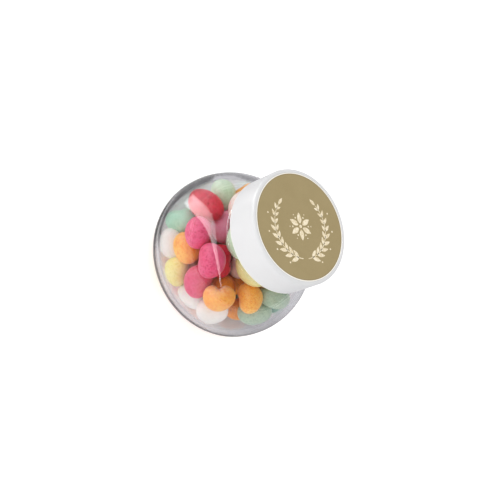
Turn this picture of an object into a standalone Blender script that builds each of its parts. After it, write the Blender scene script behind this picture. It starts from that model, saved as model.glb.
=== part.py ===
"""Small round sweet jar, filled with jelly beans and closed with a screw cap.

The jar is a squat glass globe turned about +Z. It stands on a flat ring under
its base, with a shallow push-up inside the ring, and its short neck carries a
thread bead. The cap is a turned shell that screws over the neck, with a round
label in a shallow recess on top. The jelly beans are one heap, mounded towards
the neck, out to its cobbled outline. Metres, +Z up, origin on the table under
the middle of the jar.
"""

import math

import bmesh
import bpy
from mathutils import Vector

# ---------------------------------------------------------------- sizes
MM = 0.001

BELLY_HEIGHT = 20.0 * MM  # the widest circle, above the table
BELLY_RADIUS = 31.0 * MM
FRONT_HALF = 29.5 * MM  # belly to where the upper half would close
BACK_HALF = 21.7 * MM  # belly to where the lower half would close
BACK_SQUARENESS = 2.3  # 2 would be an ellipse
PUSH_UP = 1.0 * MM
PUSH_UP_RADIUS = 9.5 * MM
RING_INNER = 11.0 * MM

WALL = 2.2 * MM
BACK_WALL = 2.6 * MM
FLOOR_HEIGHT = 3.4 * MM  # inner floor above the table
NECK_RADIUS = 18.7 * MM
NECK_WALL = 2.2 * MM
NECK_TOP = 57.95 * MM
SHOULDER_FILLET = 3.0 * MM
LIP_ROUND = 0.9 * MM

CAP_RADIUS = 21.1 * MM
CAP_WALL = 1.2 * MM
CAP_RIM = 46.8 * MM  # lower rim above the table
CAP_TOP = 60.0 * MM
CAP_PLATE = 1.2 * MM
CAP_ROUND = 0.9 * MM
RIM_ROUND = 0.35 * MM
RECESS_RADIUS = 19.7 * MM
RECESS_DEPTH = 0.5 * MM

LABEL_RADIUS = 19.3 * MM
LABEL_THICK = 0.2 * MM

GAP = 0.3 * MM  # air between pieces that touch

THREAD_PITCH = 4.0 * MM
THREAD_TURNS = 1.25
THREAD_TOP = 55.0 * MM  # where the bead on the glass starts
BEAD_HEIGHT = 0.9 * MM
NECK_BEAD_WIDTH = 1.8 * MM
CAP_BEAD_WIDTH = 1.4 * MM

HEAP_PEAK = 42.5 * MM  # top of the mound, above the table
HEAP_SLOPE = math.tan(math.radians(24.0))
HEAP_BLUNT = 5.0 * MM  # how far the mound's tip is rounded
HEAP_HEART = 18.0 * MM  # height from which the heap spreads to all sides
HEAP_CLEAR = 0.45 * MM  # to the inner wall
BEAN_PITCH = 12.0 * MM  # spacing of the beans on the heap's outside
GROOVE = 2.4 * MM  # how deep the heap dips between beans

AROUND = 56  # flats round every turned piece


# ---------------------------------------------------------------- curves
def quarter(a, b, power, first, last, steps):
    """Points (radius, height) of a rounded quarter about the belly, from the
    angle first to the angle last."""
    points = []
    for i in range(steps + 1):
        t = math.radians(first + (last - first) * i / steps)
        c, s = abs(math.cos(t)) / a, abs(math.sin(t)) / b
        length = (c**power + s**power) ** (-1.0 / power)
        points.append((length * math.cos(t), BELLY_HEIGHT + length * math.sin(t)))
    return points


def shoulder(a, b, neck, fillet, steps):
    """Where the upper half runs into the neck: the angle at which it leaves
    the globe, and the points of the hollow fillet up to the neck."""

    def globe(t):
        nr, nz = math.cos(t) / a, math.sin(t) / b
        n = math.hypot(nr, nz)
        return a * math.cos(t), b * math.sin(t), nr / n, nz / n

    low, high = 0.0, math.pi / 2
    for _ in range(60):
        middle = (low + high) / 2
        r, z, nr, nz = globe(middle)
        if r + fillet * nr > neck + fillet:
            low = middle
        else:
            high = middle
    r, z, nr, nz = globe(low)
    cr, cz = r + fillet * nr, z + fillet * nz
    start = math.atan2(-nz, -nr) + 2 * math.pi
    points = []
    for i in range(1, steps + 1):
        t = start + (math.pi - start) * i / steps
        points.append(
            (cr + fillet * math.cos(t), BELLY_HEIGHT + cz + fillet * math.sin(t))
        )
    return math.degrees(math.atan2(z, r)), points


def arc(cr, cz, radius, first, last, steps):
    return [
        (
            cr + radius * math.cos(math.radians(first + (last - first) * i / steps)),
            cz + radius * math.sin(math.radians(first + (last - first) * i / steps)),
        )
        for i in range(steps + 1)
    ]


def floor_angle(a, b, height):
    """The angle under the belly at which a lower half reaches this height."""
    drop = BELLY_HEIGHT - height
    r = a * (1 - (drop / b) ** BACK_SQUARENESS) ** (1 / BACK_SQUARENESS)
    return -math.degrees(math.atan2(drop, r))


def side(a, back, front, floor, neck, fillet, rows_back, rows_front):
    """From the floor's edge round the belly to the foot of the neck."""
    leave, fillet_points = shoulder(a, front, neck, fillet, 3)
    points = quarter(
        a, back, BACK_SQUARENESS, floor_angle(a, back, floor), 0.0, rows_back
    )
    return points + quarter(a, front, 2.0, 0.0, leave, rows_front)[1:] + fillet_points


def glass_profile():
    """Once round the glass: underside, outside, lip, inside, inner floor."""
    bore = NECK_RADIUS - NECK_WALL
    outside = side(
        BELLY_RADIUS, BACK_HALF, FRONT_HALF, 0.0, NECK_RADIUS, SHOULDER_FILLET, 8, 5
    )
    inside = side(
        BELLY_RADIUS - WALL,
        BACK_HALF - BACK_WALL,
        FRONT_HALF - WALL,
        FLOOR_HEIGHT,
        bore,
        SHOULDER_FILLET + NECK_WALL,
        7,
        4,
    )
    lip = NECK_TOP - LIP_ROUND
    return (
        [(0.0, PUSH_UP), (PUSH_UP_RADIUS, PUSH_UP), (RING_INNER, 0.0)]
        + outside
        + arc(NECK_RADIUS - LIP_ROUND, lip, LIP_ROUND, 0.0, 90.0, 3)
        + arc(bore + LIP_ROUND, lip, LIP_ROUND, 90.0, 180.0, 2)
        + inside[::-1]
        + [(0.0, FLOOR_HEIGHT)]
    )


def cap_profile():
    skirt = CAP_RADIUS - CAP_WALL
    ceiling = CAP_TOP - RECESS_DEPTH - CAP_PLATE
    return (
        [(0.0, ceiling), (skirt - 0.6 * MM, ceiling), (skirt, ceiling - 0.6 * MM)]
        + [(skirt, CAP_RIM)]
        + arc(CAP_RADIUS - RIM_ROUND, CAP_RIM + RIM_ROUND, RIM_ROUND, -90.0, 0.0, 2)
        + arc(CAP_RADIUS - CAP_ROUND, CAP_TOP - CAP_ROUND, CAP_ROUND, 0.0, 90.0, 4)
        + [
            (RECESS_RADIUS, CAP_TOP),
            (RECESS_RADIUS, CAP_TOP - RECESS_DEPTH),
            (0.0, CAP_TOP - RECESS_DEPTH),
        ]
    )


def label_profile():
    low = CAP_TOP - RECESS_DEPTH + GAP
    return [
        (0.0, low),
        (LABEL_RADIUS, low),
        (LABEL_RADIUS, low + LABEL_THICK),
        (0.0, low + LABEL_THICK),
    ]


# ---------------------------------------------------------------- meshes
def mesh_of(name, made):
    bmesh.ops.recalc_face_normals(made, faces=made.faces)
    mesh = bpy.data.meshes.new(name)
    made.to_mesh(mesh)
    made.free()
    return mesh


def turned(name, profile):
    """A mesh turned about Z from a profile that starts and ends on the axis."""
    made = bmesh.new()
    rings = []
    for r, z in profile:
        count = AROUND if r > 1e-7 else 1
        rings.append(
            [
                made.verts.new(
                    (
                        r * math.cos(2 * math.pi * k / AROUND),
                        r * math.sin(2 * math.pi * k / AROUND),
                        z,
                    )
                )
                for k in range(count)
            ]
        )
    for low, high in zip(rings, rings[1:]):
        for k in range(AROUND):
            j = (k + 1) % AROUND
            if len(low) == 1:
                made.faces.new((low[0], high[j], high[k]))
            elif len(high) == 1:
                made.faces.new((low[k], low[j], high[0]))
            else:
                made.faces.new((low[k], low[j], high[j], high[k]))
    return mesh_of(name, made)


def bead(name, radius, width, top, inward):
    """A helical thread bead that fades into its wall at both ends."""
    steps = int(THREAD_TURNS * AROUND)
    side_of_wall = -1.0 if inward else 1.0
    root = radius - side_of_wall * 0.5 * MM
    made = bmesh.new()
    sections = []
    for i in range(steps + 1):
        turn = 2 * math.pi * (i + 0.5) / AROUND
        z = top - THREAD_PITCH * i / AROUND
        fade = min(1.0, i / 6.0, (steps - i) / 6.0)
        crest = radius + side_of_wall * (BEAD_HEIGHT * fade - 0.25 * MM * (1 - fade))
        shape = (
            (root, -width * 0.62),
            (crest, -width * 0.22),
            (crest, width * 0.22),
            (root, width * 0.62),
        )
        sections.append(
            [
                made.verts.new((r * math.cos(turn), r * math.sin(turn), z + dz))
                for r, dz in shape
            ]
        )
    for first, second in zip(sections, sections[1:]):
        for k in range(4):
            j = (k + 1) % 4
            made.faces.new((first[k], first[j], second[j], second[k]))
    made.faces.new(sections[0])
    made.faces.new(sections[-1])
    return mesh_of(name, made)


def in_heap(point):
    """Whether a point lies in the jar's hollow, above its floor and under the
    mound's slope."""
    r, z = math.hypot(point.x, point.y), point.z - BELLY_HEIGHT
    top = HEAP_PEAK - HEAP_SLOPE * (math.hypot(r, HEAP_BLUNT) - HEAP_BLUNT)
    if not FLOOR_HEIGHT < point.z < top:
        return False
    if z > 0:
        return (r / (BELLY_RADIUS - WALL)) ** 2 + (z / (FRONT_HALF - WALL)) ** 2 < 1
    across, down = r / (BELLY_RADIUS - WALL), -z / (BACK_HALF - BACK_WALL)
    return across**BACK_SQUARENESS + down**BACK_SQUARENESS < 1


def reach(direction):
    """Distance from the heap's heart to its outline."""
    heart = Vector((0.0, 0.0, HEAP_HEART))
    low, high = 0.0, 60 * MM
    for _ in range(40):
        middle = (low + high) / 2
        if in_heap(heart + direction * middle):
            low = middle
        else:
            high = middle
    return low


def bean_marks():
    """Directions of the beans on the heap's outside, spread evenly and then
    nudged so that no two rows line up."""
    count = int(4 * math.pi * (26 * MM) ** 2 / (BEAN_PITCH**2 * 0.87))
    marks = []
    for i in range(count):
        z = 1 - 2 * (i + 0.5) / count
        r, turn = math.sqrt(1 - z * z), i * math.pi * (3 - math.sqrt(5))
        nudge = Vector((math.sin(i * 2.3), math.sin(i * 3.7 + 1), math.sin(i * 5.1 + 2)))
        mark = Vector((r * math.cos(turn), r * math.sin(turn), z))
        marks.append((mark + 0.07 * nudge).normalized())
    return marks


def heap():
    marks = bean_marks()
    spread = BEAN_PITCH / (26 * MM)
    made = bmesh.new()
    bmesh.ops.create_uvsphere(made, u_segments=48, v_segments=26, radius=1.0)
    for vertex in made.verts:
        direction = vertex.co.normalized()
        near = min((direction - mark).length for mark in marks)
        dip = GROOVE * min(1.0, (near / (0.62 * spread)) ** 2)
        vertex.co = direction * (reach(direction) - HEAP_CLEAR - dip)
    bmesh.ops.translate(made, verts=made.verts, vec=(0.0, 0.0, HEAP_HEART))
    return mesh_of("jelly_beans", made)


# ---------------------------------------------------------------- objects
def piece(name, mesh, colour, roughness, glass=0.0):
    obj = bpy.data.objects.new(name, mesh)
    bpy.context.scene.collection.objects.link(obj)
    material = bpy.data.materials.new(name)
    material.use_nodes = True
    shader = material.node_tree.nodes["Principled BSDF"]
    shader.inputs["Base Color"].default_value = (*colour, 1.0)
    shader.inputs["Roughness"].default_value = roughness
    shader.inputs["Metallic"].default_value = 0.0
    shader.inputs["Transmission Weight"].default_value = glass
    material.diffuse_color = (*colour, 1.0)
    mesh.materials.append(material)
    mesh.shade_smooth()
    mesh.set_sharp_from_angle(angle=math.radians(35.0))
    return obj


def add_bead(obj, mesh):
    """Joins a thread bead to its wall."""
    helper = bpy.data.objects.new(mesh.name, mesh)
    bpy.context.scene.collection.objects.link(helper)
    helper.hide_render = True
    helper.display_type = "WIRE"
    modifier = obj.modifiers.new("Thread", "BOOLEAN")
    modifier.operation = "UNION"
    modifier.solver = "EXACT"
    modifier.object = helper


for old in list(bpy.data.objects):
    bpy.data.objects.remove(old, do_unlink=True)

jar_glass = piece(
    "jar_glass", turned("jar_glass", glass_profile()), (0.93, 0.95, 0.95), 0.03, 1.0
)
add_bead(
    jar_glass, bead("neck_bead", NECK_RADIUS, NECK_BEAD_WIDTH, THREAD_TOP, False)
)

cap = piece("cap", turned("cap", cap_profile()), (0.84, 0.84, 0.86), 0.35)
add_bead(
    cap,
    bead(
        "cap_bead",
        CAP_RADIUS - CAP_WALL,
        CAP_BEAD_WIDTH,
        THREAD_TOP - THREAD_PITCH / 2,
        True,
    ),
)

label = piece("label", turned("label", label_profile()), (0.40, 0.31, 0.165), 0.55)

jelly_beans = piece("jelly_beans", heap(), (0.83, 0.38, 0.36), 0.45)
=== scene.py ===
"""Looks for the small round jar of jelly beans: fine glass, cap, label and beans."""

import math

import bpy
import numpy as np
from mathutils import Matrix, Vector


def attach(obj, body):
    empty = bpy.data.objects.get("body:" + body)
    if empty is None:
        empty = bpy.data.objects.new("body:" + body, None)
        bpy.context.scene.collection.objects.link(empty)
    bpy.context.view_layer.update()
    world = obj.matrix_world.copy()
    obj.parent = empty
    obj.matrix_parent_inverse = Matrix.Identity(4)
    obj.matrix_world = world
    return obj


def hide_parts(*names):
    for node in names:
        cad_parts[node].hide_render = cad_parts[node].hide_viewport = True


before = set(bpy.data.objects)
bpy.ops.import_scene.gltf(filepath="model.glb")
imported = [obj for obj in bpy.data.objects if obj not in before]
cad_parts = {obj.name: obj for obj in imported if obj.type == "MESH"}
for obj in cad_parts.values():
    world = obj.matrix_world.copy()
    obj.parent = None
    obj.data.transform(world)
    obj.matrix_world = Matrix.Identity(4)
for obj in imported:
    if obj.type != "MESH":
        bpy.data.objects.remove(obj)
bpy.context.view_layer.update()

MM = 0.001

# ------------------------------------------------------------------ sizes
# The same named sizes as the construction, in millimetres.
BELLY_HEIGHT, BELLY_RADIUS = 20.0, 31.0
FRONT_HALF, BACK_HALF, BACK_SQUARENESS = 29.5, 21.7, 2.3
PUSH_UP, PUSH_UP_RADIUS, RING_INNER = 1.0, 9.5, 11.0
WALL, BACK_WALL, FLOOR_HEIGHT = 2.2, 2.6, 3.4
NECK_RADIUS, NECK_WALL, NECK_TOP = 18.7, 2.2, 57.95
SHOULDER_FILLET, LIP_ROUND = 3.0, 0.9
CAP_RADIUS, CAP_WALL, CAP_RIM, CAP_TOP = 21.1, 1.2, 46.8, 60.0
CAP_PLATE, CAP_ROUND, RIM_ROUND = 1.2, 0.9, 0.35
RECESS_RADIUS, RECESS_DEPTH = 19.7, 0.5
LABEL_RADIUS, LABEL_EDGE = 19.3, 19.66  # the print, and its cream edge
THREAD_PITCH, THREAD_TURNS, THREAD_TOP, BEAD_HEIGHT = 4.0, 1.25, 55.0, 0.9

# ------------------------------------------------------------------ camera
# The photograph looks down on the jar at this elevation, turned on its side.
ELEVATION, ROLL = math.radians(48.41), math.radians(68.2)
DISTANCE, PX_PER_MM = 400.0, 2.657
LEVEL_RIGHT = Vector((1.0, 0.0, 0.0))
BACK = Vector((0.0, -math.cos(ELEVATION), math.sin(ELEVATION)))
LEVEL_UP = BACK.cross(LEVEL_RIGHT)
RIGHT = math.cos(ROLL) * LEVEL_RIGHT + math.sin(ROLL) * LEVEL_UP
UP = math.cos(ROLL) * LEVEL_UP - math.sin(ROLL) * LEVEL_RIGHT
BELLY = Vector((0.0, 0.0, BELLY_HEIGHT))
EYE = BELLY + 6.972 * RIGHT + 1.649 * UP + DISTANCE * BACK


def seen_through(x, y):
    """Unit direction from the eye through a point of the 500 x 500 frame."""
    across, rise = float(x - 250.0) / PX_PER_MM, float(250.0 - y) / PX_PER_MM
    return (across * RIGHT + rise * UP - DISTANCE * BACK).normalized()


camera_data = bpy.data.cameras.new("camera")
camera_data.sensor_width = 36.0
camera_data.lens = PX_PER_MM * DISTANCE * 36.0 / 500.0
camera_data.clip_start, camera_data.clip_end = 0.01, 20.0
camera = bpy.data.objects.new("camera", camera_data)
bpy.context.scene.collection.objects.link(camera)
turn = Matrix((RIGHT, UP, BACK)).transposed().to_4x4()
camera.matrix_world = Matrix.Translation(EYE * MM) @ turn
bpy.context.scene.camera = camera


# ------------------------------------------------------------------ curves
def quarter(a, b, power, first, last, steps):
    points = []
    for i in range(steps + 1):
        t = math.radians(first + (last - first) * i / steps)
        c, s = abs(math.cos(t)) / a, abs(math.sin(t)) / b
        length = (c**power + s**power) ** (-1.0 / power)
        points.append((length * math.cos(t), BELLY_HEIGHT + length * math.sin(t)))
    return points


def shoulder(a, b, neck, fillet, steps):
    def globe(t):
        nr, nz = math.cos(t) / a, math.sin(t) / b
        n = math.hypot(nr, nz)
        return a * math.cos(t), b * math.sin(t), nr / n, nz / n

    low, high = 0.0, math.pi / 2
    for _ in range(60):
        middle = (low + high) / 2
        r, z, nr, nz = globe(middle)
        if r + fillet * nr > neck + fillet:
            low = middle
        else:
            high = middle
    r, z, nr, nz = globe(low)
    cr, cz = r + fillet * nr, z + fillet * nz
    start = math.atan2(-nz, -nr) + 2 * math.pi
    points = []
    for i in range(1, steps + 1):
        t = start + (math.pi - start) * i / steps
        points.append(
            (cr + fillet * math.cos(t), BELLY_HEIGHT + cz + fillet * math.sin(t))
        )
    return math.degrees(math.atan2(z, r)), points


def arc(cr, cz, radius, first, last, steps):
    return [
        (
            cr + radius * math.cos(math.radians(first + (last - first) * i / steps)),
            cz + radius * math.sin(math.radians(first + (last - first) * i / steps)),
        )
        for i in range(steps + 1)
    ]


def line(a, b, steps):
    """Points after a, up to b."""
    return [
        (a[0] + (b[0] - a[0]) * i / steps, a[1] + (b[1] - a[1]) * i / steps)
        for i in range(1, steps + 1)
    ]


def rounded(corner, before, after, radius, steps):
    """A round corner of the path before, corner, after."""
    c, p, q = Vector(corner), Vector(before), Vector(after)
    d1, d2 = (p - c).normalized(), (q - c).normalized()
    half = 0.5 * math.acos(max(-1.0, min(1.0, d1.dot(d2))))
    back = min(radius / math.tan(half), 0.49 * (p - c).length, 0.49 * (q - c).length)
    points = []
    for i in range(steps + 1):
        t = i / steps
        a, b = c + d1 * back * (1 - t), c + d2 * back * t
        points.append(tuple(a + (b - a) * t))
    return points


def floor_angle(a, b, height):
    drop = BELLY_HEIGHT - height
    r = a * (1 - (drop / b) ** BACK_SQUARENESS) ** (1 / BACK_SQUARENESS)
    return -math.degrees(math.atan2(drop, r))


def glass_outside():
    """From the middle of the push-up to the top of the lip."""
    leave, fillet = shoulder(BELLY_RADIUS, FRONT_HALF, NECK_RADIUS, SHOULDER_FILLET, 8)
    back = quarter(
        BELLY_RADIUS,
        BACK_HALF,
        BACK_SQUARENESS,
        floor_angle(BELLY_RADIUS, BACK_HALF, 0.0),
        0.0,
        36,
    )
    front = quarter(BELLY_RADIUS, FRONT_HALF, 2.0, 0.0, leave, 28)
    under = [(0.0, PUSH_UP)] + line((0.0, PUSH_UP), (PUSH_UP_RADIUS - 1.5, PUSH_UP), 6)
    for i in range(1, 13):
        t = i / 12
        ease = t * t * (3 - 2 * t)
        under.append(
            (
                PUSH_UP_RADIUS - 1.5 + (RING_INNER - PUSH_UP_RADIUS + 1.5) * t,
                PUSH_UP * (1 - ease),
            )
        )
    heel = rounded(back[0], (RING_INNER, 0.0), back[3], 2.5, 6)
    neck = NECK_TOP - LIP_ROUND
    return (
        under
        + line(under[-1], heel[0], 3)
        + heel[1:]
        + back[4:]
        + front[1:]
        + fillet
        + line(fillet[-1], (NECK_RADIUS, neck), 40)
        + arc(NECK_RADIUS - LIP_ROUND, neck, LIP_ROUND, 0.0, 90.0, 8)[1:]
    )


def glass_inside():
    """From the middle of the inner floor to the top of the lip."""
    a, back_half, front_half = (
        BELLY_RADIUS - WALL,
        BACK_HALF - BACK_WALL,
        FRONT_HALF - WALL,
    )
    bore = NECK_RADIUS - NECK_WALL
    leave, fillet = shoulder(a, front_half, bore, SHOULDER_FILLET + NECK_WALL, 10)
    back = quarter(
        a, back_half, BACK_SQUARENESS, floor_angle(a, back_half, FLOOR_HEIGHT), 0.0, 34
    )
    front = quarter(a, front_half, 2.0, 0.0, leave, 26)
    floor = [(0.0, FLOOR_HEIGHT)]
    heel = rounded(back[0], (6.0, FLOOR_HEIGHT), back[6], 4.0, 8)
    neck = NECK_TOP - LIP_ROUND
    return (
        floor
        + line(floor[0], heel[0], 8)
        + heel[1:]
        + back[7:]
        + front[1:]
        + fillet
        + line(fillet[-1], (bore, neck), 8)
        + arc(bore + LIP_ROUND, neck, LIP_ROUND, 180.0, 90.0, 8)[1:]
    )


# ------------------------------------------------------------------ meshes
def thread(turn, z, width, top):
    """How far a thread bead stands up at this turn and height, from 0 to 1."""
    most = 0.0
    for lap in range(int(THREAD_TURNS) + 1):
        along = turn / (2 * math.pi) + lap
        if along > THREAD_TURNS:
            continue
        fade = min(1.0, along / 0.1, (THREAD_TURNS - along) / 0.1)
        off = abs(z - (top - THREAD_PITCH * along)) / (width / 2)
        most = max(most, fade * max(0.0, min(1.0, 1.6 * (1.0 - off))))
    return most * most * (3 - 2 * most)


def turned(name, profile, around, bead=None, bead_rows=()):
    """A turned mesh. A profile that meets the axis closes there."""
    points, faces, rings = [], [], []
    for row, (r, z) in enumerate(profile):
        if r < 1e-6:
            rings.append([len(points)])
            points.append((0.0, 0.0, z * MM))
            continue
        rings.append(list(range(len(points), len(points) + around)))
        for k in range(around):
            turn = 2 * math.pi * k / around
            out = r + (bead(turn, z) if bead and row in bead_rows else 0.0)
            points.append(
                (out * math.cos(turn) * MM, out * math.sin(turn) * MM, z * MM)
            )
    for low, high in zip(rings, rings[1:]):
        for k in range(around):
            j = (k + 1) % around
            if len(low) == 1:
                faces.append((low[0], high[j], high[k]))
            elif len(high) == 1:
                faces.append((low[k], low[j], high[0]))
            else:
                faces.append((low[k], low[j], high[j], high[k]))
    return shown(name, points, faces)


def shown(name, points, faces, smooth=True):
    mesh = bpy.data.meshes.new(name)
    mesh.from_pydata(points, [], faces)
    mesh.update()
    if smooth:
        mesh.shade_smooth()
    obj = bpy.data.objects.new(name, mesh)
    bpy.context.scene.collection.objects.link(obj)
    return obj


def belongs(obj, node, material):
    obj.data.materials.clear()
    obj.data.materials.append(material)
    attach(obj, "root")
    if node:
        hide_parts(node)
    return obj


# ------------------------------------------------------------------ materials
def linear(r, g, b):
    """A colour given in 0 to 255 as a screen shows it, as light."""
    out = []
    for value in (r, g, b):
        value /= 255.0
        out.append(value / 12.92 if value <= 0.04045 else ((value + 0.055) / 1.055) ** 2.4)
    return (*out, 1.0)


class Nodes:
    """A short way to write a node material."""

    def __init__(self, name):
        self.material = bpy.data.materials.new(name)
        self.material.use_nodes = True
        self.tree = self.material.node_tree
        self.shader = self.tree.nodes["Principled BSDF"]

    def add(self, kind, **values):
        node = self.tree.nodes.new(kind)
        for key, value in values.items():
            if key in node.inputs:
                node.inputs[key].default_value = value
            else:
                setattr(node, key, value)
        return node

    def link(self, output, target):
        self.tree.links.new(output, target)

    def set(self, **values):
        for key, value in values.items():
            self.shader.inputs[key.replace("_", " ")].default_value = value

    def place(self):
        return self.add("ShaderNodeTexCoord").outputs["Object"]

    def noise(self, scale, detail=2.0, roughness=0.5, vector=None):
        node = self.add("ShaderNodeTexNoise", Scale=scale, Detail=detail, Roughness=roughness)
        self.link(vector or self.place(), node.inputs["Vector"])
        return node.outputs["Fac"]

    def ramp(self, value, low, high):
        """0 up to low, 1 from high on."""
        node = self.add("ShaderNodeMapRange")
        node.inputs["From Min"].default_value = low
        node.inputs["From Max"].default_value = high
        self.link(value, node.inputs["Value"])
        return node.outputs["Result"]

    def mix(self, amount, first, second):
        node = self.add("ShaderNodeMix", data_type="RGBA")
        for socket, value in (("A", first), ("B", second)):
            target = [s for s in node.inputs if s.name == socket and s.type == "RGBA"][0]
            if isinstance(value, tuple):
                target.default_value = value
            else:
                self.link(value, target)
        factor = node.inputs["Factor"]
        if isinstance(amount, float):
            factor.default_value = amount
        else:
            self.link(amount, factor)
        return [s for s in node.outputs if s.type == "RGBA"][0]

    def times(self, value, by):
        node = self.add("ShaderNodeMath", operation="MULTIPLY")
        self.link(value, node.inputs[0])
        if isinstance(by, float):
            node.inputs[1].default_value = by
        else:
            self.link(by, node.inputs[1])
        return node.outputs["Value"]

    def bump(self, height, strength, distance):
        node = self.add("ShaderNodeBump", Strength=strength, Distance=distance)
        self.link(height, node.inputs["Height"])
        self.link(node.outputs["Normal"], self.shader.inputs["Normal"])


def glass_material():
    n = Nodes("jar_glass")
    n.set(
        Base_Color=(0.985, 0.99, 0.99, 1.0),
        Roughness=0.0,
        IOR=1.5,
        Transmission_Weight=1.0,
    )
    # Pressed glass is never quite even: very faint long waves.
    n.bump(n.noise(28.0, 1.0), 0.05, 0.0006)
    return n.material


def cap_material():
    n = Nodes("cap_plastic")
    n.set(Roughness=0.34, Specular_IOR_Level=0.45)
    cloud = n.noise(90.0, 3.0)
    colour = n.mix(n.ramp(cloud, 0.35, 0.7), linear(226, 226, 227), linear(223, 223, 224))
    # The thin lower edge lets light through and looks brighter; that brightness is a painted highlight in
    # its colour.
    where = n.add("ShaderNodeSeparateXYZ")
    n.link(n.place(), where.inputs["Vector"])
    rim_highlight = n.ramp(where.outputs["Z"], (CAP_RIM + 0.55) * MM, (CAP_RIM + 0.3) * MM)
    colour = n.mix(rim_highlight, colour, linear(253, 250, 243))
    n.link(colour, n.shader.inputs["Base Color"])
    rough = n.add("ShaderNodeMapRange")
    rough.inputs["To Min"].default_value = 0.30
    rough.inputs["To Max"].default_value = 0.40
    n.link(n.noise(1500.0, 2.0), rough.inputs["Value"])
    n.link(rough.outputs["Result"], n.shader.inputs["Roughness"])
    n.bump(n.noise(2500.0, 3.0), 0.05, 0.0001)
    return n.material


def label_material():
    n = Nodes("label_print")
    n.set(Roughness=0.5, Specular_IOR_Level=0.35)
    cloud = n.noise(160.0, 4.0, 0.6)
    fibre = n.noise(3500.0, 2.0, 0.5)
    base = n.mix(n.ramp(cloud, 0.3, 0.75), linear(171, 153, 111), linear(166, 148, 106))
    base = n.mix(n.times(n.ramp(fibre, 0.4, 0.7), 0.35), base, linear(158, 142, 104))
    # A thin cream edge runs round the print.
    where = n.add("ShaderNodeSeparateXYZ")
    n.link(n.place(), where.inputs["Vector"])
    flat = n.add("ShaderNodeCombineXYZ")
    n.link(where.outputs["X"], flat.inputs["X"])
    n.link(where.outputs["Y"], flat.inputs["Y"])
    reach = n.add("ShaderNodeVectorMath", operation="LENGTH")
    n.link(flat.outputs["Vector"], reach.inputs[0])
    inside_edge = n.ramp(
        reach.outputs["Value"], (LABEL_RADIUS - 0.5) * MM, (LABEL_RADIUS - 0.1) * MM
    )
    base = n.mix(n.times(inside_edge, 0.7), base, linear(146, 129, 92))
    edge = n.ramp(
        reach.outputs["Value"], (LABEL_RADIUS - 0.03) * MM, (LABEL_RADIUS + 0.03) * MM
    )
    colour = n.mix(edge, base, linear(255, 251, 242))
    n.link(colour, n.shader.inputs["Base Color"])
    n.bump(fibre, 0.04, 0.0001)
    return n.material


def ink_material():
    n = Nodes("label_ink")
    n.set(Roughness=0.42, Specular_IOR_Level=0.4)
    cloud = n.noise(900.0, 3.0)
    colour = n.mix(n.ramp(cloud, 0.38, 0.66), linear(253, 240, 212), linear(226, 207, 168))
    n.link(colour, n.shader.inputs["Base Color"])
    return n.material


def bean_material(name, main, pale, dark, specks=0.0, speck_size=0.6):
    """A waxy sugar shell: cloudy colour, fine grain and a few dark specks. The
    attribute tone makes one bean a little paler or deeper than the next."""
    n = Nodes(name)
    n.set(
        Roughness=0.4,
        Specular_IOR_Level=0.5,
        Subsurface_Weight=0.12,
        Subsurface_Scale=0.0012,
    )
    n.set(Coat_Weight=0.08, Coat_Roughness=0.25)
    n.set(Sheen_Weight=0.12, Sheen_Roughness=0.35)
    tone = n.add("ShaderNodeAttribute", attribute_name="tone")
    cloud = n.noise(170.0, 3.0, 0.55)
    grain = n.noise(2100.0, 3.0, 0.7)
    colour = n.mix(n.ramp(cloud, 0.36, 0.68), main, pale)
    colour = n.mix(n.times(n.ramp(grain, 0.42, 0.64), 0.8), colour, pale)
    shadow = n.noise(1250.0, 3.0, 0.65)
    colour = n.mix(n.times(n.ramp(shadow, 0.50, 0.68), 0.6), colour, dark)
    colour = n.mix(n.times(tone.outputs["Fac"], 0.4), colour, dark)
    # Sugar dust gathers in the hollow of a bean; on the notched bean the strong pale mark is a painted
    # highlight.
    dust_and_highlight = n.add("ShaderNodeAttribute", attribute_name="dust_and_highlight")
    dust_and_highlight_mix = n.times(dust_and_highlight.outputs["Fac"], n.ramp(n.noise(900.0, 3.0, 0.6), 0.25, 0.6))
    colour = n.mix(dust_and_highlight_mix, colour, linear(252, 246, 238))
    if specks:
        cells = n.add("ShaderNodeTexVoronoi", feature="F1", Scale=620.0)
        n.link(n.place(), cells.inputs["Vector"])
        dot = n.ramp(cells.outputs["Distance"], speck_size * 0.42, speck_size * 0.26)
        patch = n.ramp(n.noise(420.0, 2.0), 0.46, 0.56)
        colour = n.mix(n.times(n.times(dot, patch), specks), colour, dark)
    n.link(colour, n.shader.inputs["Base Color"])
    rough = n.add("ShaderNodeMapRange")
    rough.inputs["To Min"].default_value = 0.34
    rough.inputs["To Max"].default_value = 0.5
    n.link(cloud, rough.inputs["Value"])
    n.link(rough.outputs["Result"], n.shader.inputs["Roughness"])
    n.bump(grain, 0.12, 0.0002)
    return n.material


# ------------------------------------------------------------------ the glass
outside, inside = glass_outside(), glass_inside()
glass_rows = outside + inside[::-1]
neck_rows = [
    i
    for i, (r, z) in enumerate(outside)
    if z > BELLY_HEIGHT and abs(r - NECK_RADIUS) < 1e-6
]
glass = turned(
    "jar_glass_clear",
    glass_rows,
    192,
    lambda turn, z: BEAD_HEIGHT * thread(turn, z, 1.9, THREAD_TOP),
    set(neck_rows),
)
belongs(glass, "jar_glass", glass_material())
glass.visible_shadow = False
glass.visible_diffuse = False

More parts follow.
